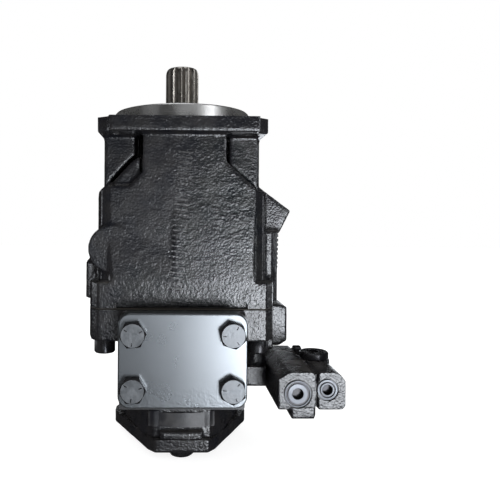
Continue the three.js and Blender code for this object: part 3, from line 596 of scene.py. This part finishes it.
cover_bolts = ((-cover_bolt_x, -cover_bolt_z, 2), (cover_bolt_x, -cover_bolt_z, 32),
               (-cover_bolt_x, cover_bolt_z, 5), (cover_bolt_x, cover_bolt_z, 42))
for n, (x, z, turn) in enumerate(cover_bolts, 1):
    bolt = hex_bolt(f"cover_bolt_{n}", facing((0, -1, 0), x, -100.6, cover_z + z), 7.5, 32, turn)
    # Only the flat top facing the front keeps the lighter steel, a painted sheen; the sides, chamfer and sunk
    # dashes take the black oxide.
    machined_and_painted_shade_faces(bolt, lambda spot, way: way.y > -0.97 or spot.y > -107.9)
    fit(bolt, "case", "black_steel", f"inlet_cover_bolt_{n}")
for side, y in (("front", -60), ("back", 60)):
    bolt = hex_bolt(f"rear_bolt_{side}", facing((0, 0, -1), 0, y, -279.8), 6, 24, 12)
    machined_and_painted_shade_faces(bolt, lambda spot, way: True)
    fit(bolt, "case", "black_steel", f"rear_cover_bolt_{side}")

# ---- Socket screws -------------------------------------------------------------------------------
# Plain cylinder heads in black oxide steel: four clamp the end cap from below, two clamp the valve.


def socket_screw(name, where, head, height, shank, length, key):
    screw = make(name, turning([(0, 0), (head - 0.3, 0), (head, 0.5), (head, height - 1.1),
                                (head - 0.9, height), (0, height)], 48))
    join(screw, [bar(shank, (0, 0, -length), (0, 0, 0.3), 32)])
    cut(screw, prism(hexagon(key), height * 0.45, height + 1))
    bevel(screw, 0.15, 2, 50)
    screw.data.transform(Matrix.Scale(MM, 4) @ where @ Matrix.Scale(1 / MM, 4))
    return dress(shade(screw), black_oxide_and_painted_shade)


cap_screws = ((-tap_x, -tap_y), (tap_x, -tap_y), (-tap_x, tap_y), (tap_x, tap_y))
for n, (x, y) in enumerate(cap_screws, 1):
    screw = socket_screw(f"cap_screw_{n}", facing((0, 0, -1), x, y, -189.3), 9, 12, 6, 42, 10)
    fit(screw, "case", "black_steel", f"end_cap_screw_{n}")
for n, z in enumerate((-227, -211), 1):
    screw = socket_screw(f"clamp_screw_{n}", facing((1, 0, 0), 105.8, -14, z), 6.5, 7, 4, 44, 6)
    fit(screw, "case", "black_steel", f"valve_screw_{n}")

# ---- Control valve -------------------------------------------------------------------------------
# One cast block with two spool columns, pressure limiting on the left and load sensing on the right,
# parted by a slot. It is painted with the pump; the port spotfaces are bored through the paint.
PC_AXIS, LS_AXIS = (91, -223), (114.4, -219.7)
VALVE_TOP_PORT = Matrix.Translation((114.6, -54, 0))
TOP_PLUG_PLACE = Matrix.Translation((115, -54, 0))
valve = make("valve_casting",
             prism([(75.4, -235.6), (85.5, -235.6), (88, -242.6), (103.5, -242.6), (105.3, -240),
                    (105.3, -208.5), (102.5, -206.3), (84.5, -206.3), (75.4, -212)], -98.4, -6.4, "y"),
             prism([(107.4, -235.6), (126.5, -235.6), (129.1, -232.5), (129.1, -213), (125.5, -208.5),
                    (122, -206.3), (109.5, -206.3), (107.4, -208)], -98.4, -40.4, "y"),
             turning([(0, -212), (13.4, -212), (13.4, -205.9), (0, -205.9)], 64, VALVE_TOP_PORT),
             block((104, 109), (-95, -42), (-234, -209)),
             block((86, 104), (-99, -70), (-242.6, -234)),
             bar(12.8, (PC_AXIS[0], -98.2, PC_AXIS[1]), (PC_AXIS[0], -80, PC_AXIS[1])),
             bar(10.6, (LS_AXIS[0], -98.2, LS_AXIS[1]), (LS_AXIS[0], -80, LS_AXIS[1])))
cast_skin(valve, 0.8, 3, 0.09)
spots = []
for (x, z), mouth, bore, deep in ((PC_AXIS, 11.6, 8, 17), (LS_AXIS, 9, 6.2, 15)):
    spots += [bar(mouth, (x, -110, z), (x, -97, z), 64), bar(bore, (x, -100, z), (x, -99 + deep, z))]
for (x, z), inner_end in ((PC_AXIS, -22), (LS_AXIS, -50)):
    spots.append(bar(4.4, (x, -90, z), (x, inner_end, z), 32))
spots += [bar(9.5, (115, -54, -211.5), (115, -54, -190)),
          block((105.7, 107.1), (-110, -94), (-250, -190)),
          bar(13.1, (115, -54, -205.7), (115, -54, -190), 64)]
spots += [bar(4.5, (70, -14, z), (120, -14, z), 24) for z in (-227, -211)]
cut(valve, *spots)
dress(shade(valve), cast_paint, smooth_paint)
machined_and_painted_shade_faces(valve, lambda spot, way: spot.y > -97.2 and any(
    math.hypot(spot.x - x, spot.z - z) < reach for (x, z), reach in ((PC_AXIS, 11.7), (LS_AXIS, 9.1))))
fit(valve, "case", "painted_iron", "valve_body")

# Zinc-plated adjusting plugs: a raised rim, a flat ring, and a deep round socket in the middle.
zinc = turned_steel("zinc plate", (0.13, 0.135, 0.145), 0.36, 2600.0, 0.006)
plugs = (("pc_plug", PC_AXIS, 10.4, 0.9, 8.0, 4.2, 7.6, 14),
         ("ls_plug", LS_AXIS, 8.0, 1.7, 5.6, 3.9, 5.9, 12))
for name, (x, z), rim, lip, disc, hole, body, depth in plugs:
    profile = [(0, 5.6), (hole - 0.3, 5.6), (hole, 5.3), (hole, 0.4), (hole + 0.4, 0), (disc - 0.3, 0),
               (disc, 0.3), (disc + 0.1, 1.0), (rim - lip - 0.1, 1.0), (rim - lip, 0.2), (rim - lip + 0.2, 0),
               (rim - 0.2, 0), (rim, 0.2), (rim, 1.4), (body, 1.4), (body, depth), (0, depth)]
    plug = make(name + "_turned", turning(profile, 72, facing((0, 1, 0), x, -98.7, z)))
    dress(shade(plug), zinc, black_oxide_and_painted_shade)
    # The socket and the sunk groove inside the rim take the black steel: painted shade in the recesses of a
    # plug that is zinc all over.
    machined_and_painted_shade_faces(plug, lambda spot, way: math.hypot(spot.x - x, spot.z - z) < hole + 0.05
                   or spot.y > -98.3 and disc < math.hypot(spot.x - x, spot.z - z) < rim - lip)
    fit(plug, "case", "plated_steel", name)

top_profile = [(0, -211), (9.1, -211), (9.1, -205.7), (11.6, -205.7), (12.2, -205.1), (12.2, -200.9),
               (11.3, -200), (0, -200)]
top_plug = make("top_plug_turned", turning(top_profile, 64, TOP_PLUG_PLACE))
cut(top_plug, placed(prism(hexagon(8), -205, -195), TOP_PLUG_PLACE))
dress(shade(top_plug), black_oxide_and_painted_shade)
fit(top_plug, "case", "black_steel", "valve_top_plug")

# ---- Drain plug ----------------------------------------------------------------------------------
# A socket plug sealed on its flange closes the case drain's slanted boss.
drain_plug = make("drain_plug_turned", turning([(0, -16), (8.2, -16), (8.6, -15.5), (8.6, -3.6), (12.6, -3.6),
                                                (12.6, -1.1), (11.9, -0.4), (0, -0.4)], 64, drain_way))
cut(drain_plug, placed(prism(hexagon(10), -7, 2), drain_way))
dress(shade(drain_plug), black_oxide_and_painted_shade)
fit(drain_plug, "case", "black_steel", "drain_plug")

# ---- Drive shaft ---------------------------------------------------------------------------------
# Case-hardened steel: a fourteen-tooth splined end with round-nosed teeth, ground seal and bearing
# seats, and an inner spline that turns the cylinder block.
shaft_steel, tree, surface = new_finish("hardened shaft steel", Anisotropic=0.3)
lines = effect(tree, turning_marks, Marks_per_metre=2200.0, Smears_per_metre=90.0)
rub = effect(tree, edge_wear, Start=0.5, Full=0.56)["Worn"]
steel = blended(tree, spread(tree, lines["Smear"], 0.35, 0.7), (0.34, 0.31, 0.275, 1), (0.20, 0.18, 0.155, 1))
tree.links.new(blended(tree, rub, steel, (0.62, 0.58, 0.52, 1)), surface.inputs["Base Color"])
tree.links.new(spread(tree, lines["Smear"], 0.3, 0.8, 0.24, 0.4), surface.inputs["Roughness"])
tree.links.new(spread(tree, lines["Smear"], 0.2, 0.9, 1.0, 0.92), surface.inputs["Metallic"])
rough_up(tree, surface, lines["Height"], 0.01)


def spline_outline(root, tip, teeth):
    """The end view of a spline: leaning flanks, round tips and narrow root flats."""
    outline = []
    for tooth in range(teeth):
        for share, r in ((-0.40, root), (-0.33, root + 0.25), (-0.20, tip - 0.45), (-0.15, tip), (0.15, tip),
                         (0.20, tip - 0.45), (0.33, root + 0.25), (0.40, root)):
            a = 2 * math.pi * (tooth + share) / teeth
            outline.append((r * math.cos(a), r * math.sin(a)))
    return outline


shaft = make("shaft_splined_end", prism(spline_outline(13.5, 15.6, 14), 10, 57))
nose = [(0, 9), (16, 9), (16, 49.6)] + [(12.7 + 2.95 * math.cos(a), 50.4 + 6.6 * math.sin(a))
                                        for a in [math.pi / 2 * n / 8 for n in range(9)]] + [(0, 57)]
join(shaft, [turning(nose, 112)], "INTERSECT")
join(shaft, [turning([(0, 14), (17, 14), (19, 12), (19, -1), (19.7, -2), (19.7, -22), (23, -22.3),
                      (23, -29), (16, -31), (16, -103), (14.6, -104), (14.6, -152), (12.4, -154),
                      (12.4, -184), (0, -184)], 64),
             prism(spline_outline(14.7, 16.2, 8), -151, -103.5)])
cut(shaft, turning([(0, 52.5), (2.2, 52.5), (5, 58), (0, 58)], 32))
dress(shade(shaft, 24), shaft_steel)
fit(shaft, "rotor", "machined_steel", "drive_shaft")

# The rubber lip seal sits in the pilot's mouth, held by an open snap ring in its groove.
rubber, tree, surface = new_finish("seal rubber", Specular_IOR_Level=0.35)
skin = effect(tree, cast_grain, Grain_per_metre=1500.0)
film = effect(tree, dust, Amount=0.4)["Film"]
black = blended(tree, skin["Mottle"], (0.010, 0.010, 0.010, 1), (0.026, 0.024, 0.024, 1))
tree.links.new(blended(tree, film, black, (0.13, 0.12, 0.11, 1)), surface.inputs["Base Color"])
tree.links.new(spread(tree, skin["Mottle"], 0.3, 0.7, 0.55, 0.75), surface.inputs["Roughness"])
rough_up(tree, surface, skin["Height"], 0.02)
seal = make("lip_seal", turning([(19.5, 1.2), (36, 1.2), (36, 8.4), (35.2, 9), (25.6, 9), (24.6, 8.2),
                                 (24.2, 4.6), (22.5, 4.2), (20.2, 6.2), (19.5, 5.6)], 96))
dress(shade(seal), rubber)
fit(seal, "case", "seal_rubber", "shaft_seal")

open_end = [0.2 + (2 * math.pi - 0.4) * n / 72 for n in range(73)]
ring_outline = [(37.3 * math.cos(a), 37.3 * math.sin(a)) for a in open_end]
ring_outline += [(33 * math.cos(a), 33 * math.sin(a)) for a in reversed(open_end)]
snap_ring = bevel(make("snap_ring", prism(ring_outline, 9.6, 11.3)), 0.2, 2)
dress(shade(snap_ring), black_oxide_and_painted_shade)
fit(snap_ring, "case", "black_steel", "seal_snap_ring")

# ---- Bearings ------------------------------------------------------------------------------------
# Two tapered roller bearings carry the shaft, and two bronze-lined shells carry the tilting plate.
# All are ground; their true shapes stay as they are.
ground = turned_steel("ground bearing steel", (0.58, 0.58, 0.59), 0.16, 5200.0, 0.003)
for name in ("front_bearing_cup", "front_bearing_cone", "rear_bearing_cup", "rear_bearing_cone"):
    dress(nodes[name], ground)
bronze, tree, surface = new_finish("bearing bronze")
lines = effect(tree, turning_marks, Marks_per_metre=3200.0, Smears_per_metre=70.0)
tint = blended(tree, spread(tree, lines["Smear"], 0.3, 0.7), (0.55, 0.31, 0.13, 1), (0.33, 0.17, 0.07, 1))
tree.links.new(tint, surface.inputs["Base Color"])
tree.links.new(spread(tree, lines["Smear"], 0.3, 0.8, 0.25, 0.42), surface.inputs["Roughness"])
tree.links.new(spread(tree, lines["Smear"], 0.2, 0.9, 1.0, 0.88), surface.inputs["Metallic"])
rough_up(tree, surface, lines["Height"], 0.006)
for name in ("cradle_bearing_front", "cradle_bearing_back", "valve_plate"):
    dress(nodes[name], bronze)

# ---- Rotating and tilting group ------------------------------------------------------------------
# The block turns with the shaft and carries nine pistons on bronze slippers, pulled against the
# tilting plate by the retainer. It is all lapped or ground steel, wet with oil.
oiled, tree, surface = new_finish("oiled ground steel", Coat_Roughness=0.08)
lines = effect(tree, turning_marks, Marks_per_metre=4200.0, Smears_per_metre=55.0)
tint = blended(tree, spread(tree, lines["Smear"], 0.3, 0.7), (0.60, 0.60, 0.60, 1), (0.42, 0.42, 0.43, 1))
tree.links.new(tint, surface.inputs["Base Color"])
tree.links.new(spread(tree, lines["Smear"], 0.3, 0.8, 0.14, 0.3), surface.inputs["Roughness"])
tree.links.new(spread(tree, lines["Smear"], 0.2, 0.9, 1.0, 0.92), surface.inputs["Metallic"])
tree.links.new(spread(tree, lines["Smear"], 0.4, 0.7, 0.1, 0.5), surface.inputs["Coat Weight"])
rough_up(tree, surface, lines["Height"], 0.004)
group = ["cylinder_block", "ball_guide", "swashplate", "slipper_retainer", "servo_piston", "bias_piston",
         "pc_spool", "ls_spool"] + [f"piston_{n}" for n in range(1, 10)]
for name in group:
    dress(nodes[name], oiled)
for n in range(1, 10):
    dress(nodes[f"slipper_{n}"], bronze)
dress(nodes["block_spring"], black_oxide_and_painted_shade)

# The bias spring is wound from steel wire and stands between a fixed foot and the bias piston. It is
# the frame's own coil, copied and carried on the case.
coil = make("bias_coil")
coil.data = nodes["bias_spring"].data.copy()
dress(coil, black_oxide_and_painted_shade)
fit(coil, "case", "black_steel", "bias_spring")
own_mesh(coil)

# ---- Camera, floor and light ---------------------------------------------------------------------
# The pump stands on its rear cover on a plain white sweep, lit by soft boxes all round. The room is
# bright to the eye and dim in reflections, and the sweep lets the low boxes shine up past it.
lens = bpy.data.cameras.new("camera")
lens.lens, lens.sensor_width = 39.6, 36
lens.shift_x, lens.shift_y = 0.137, -0.069
camera = bpy.data.objects.new("camera", lens)
camera.location = (-0.010, -0.5299, -0.083)
camera.rotation_euler = (math.radians(90), math.radians(-0.4), math.radians(-1.1))
bpy.context.scene.collection.objects.link(camera)
bpy.context.scene.camera = camera

world = bpy.data.worlds.new("white room")
bpy.context.scene.world = world
world.use_nodes = True
sky = world.node_tree.nodes["Background"]
sky.inputs["Color"].default_value = (1, 1, 1, 1)
path = add(world.node_tree, "LightPath")
glossy_room = 0.01
dim = spread(world.node_tree, path.outputs["Is Glossy Ray"], 0, 1, 1.0, glossy_room)
world.node_tree.links.new(dim, sky.inputs["Strength"])
bpy.context.scene.view_settings.view_transform = "Standard"

floor_half, floor_bottom, floor_top = 3000, -296, -286.2
floor = make("floor", block((-floor_half, floor_half), (-floor_half, floor_half), (floor_bottom, floor_top)))
floor_finish, _, floor_surface = new_finish("white sweep", Roughness=0.9, Specular_IOR_Level=0.1)
floor_surface.inputs["Base Color"].default_value = (0.35, 0.35, 0.35, 1)
floor_surface.inputs["Emission Color"].default_value = (1, 1, 1, 1)
floor_surface.inputs["Emission Strength"].default_value = 0.85
dress(floor, floor_finish)
floor.visible_glossy = False
floor.visible_shadow = False


def soft_box(name, power, size, place, target=(0.01, 0, -0.12)):
    """A rectangular soft box at this place in metres, aimed at the pump."""
    lamp = bpy.data.lights.new(name, "AREA")
    lamp.shape, lamp.size, lamp.size_y, lamp.energy = "RECTANGLE", size[0], size[1], power
    lamp.color = (0.9, 0.94, 1.0)
    holder = bpy.data.objects.new(name, lamp)
    holder.location = place
    holder.rotation_euler = (Vector(target) - Vector(place)).to_track_quat("-Z", "Y").to_euler()
    bpy.context.scene.collection.objects.link(holder)


soft_box("low right box", 21.0, (0.66, 0.56), (0.52, -1.5, -0.46))
soft_box("low left box", 1.1, (0.7, 0.36), (-0.2, -1.5, -0.2))
soft_box("upper front box", 0.15, (0.45, 0.35), (0.02, -1.6, 0.36))
soft_box("right strip", 3.0, (0.22, 0.55), (1.0, -0.95, 0.25))
soft_box("left fill", 0.4, (0.8, 1.0), (-1.2, -0.9, 0.0))
soft_box("right side box", 1.5, (0.7, 0.4), (1.6, 0.5, -0.1))
soft_box("left side box", 2.5, (0.7, 0.4), (-1.6, 0.5, -0.1))
soft_box("rear box", 3.5, (1.1, 0.4), (0.3, 1.7, -0.3))
soft_box("top box", 3, (0.9, 0.6), (0.0, -0.1, 1.1))
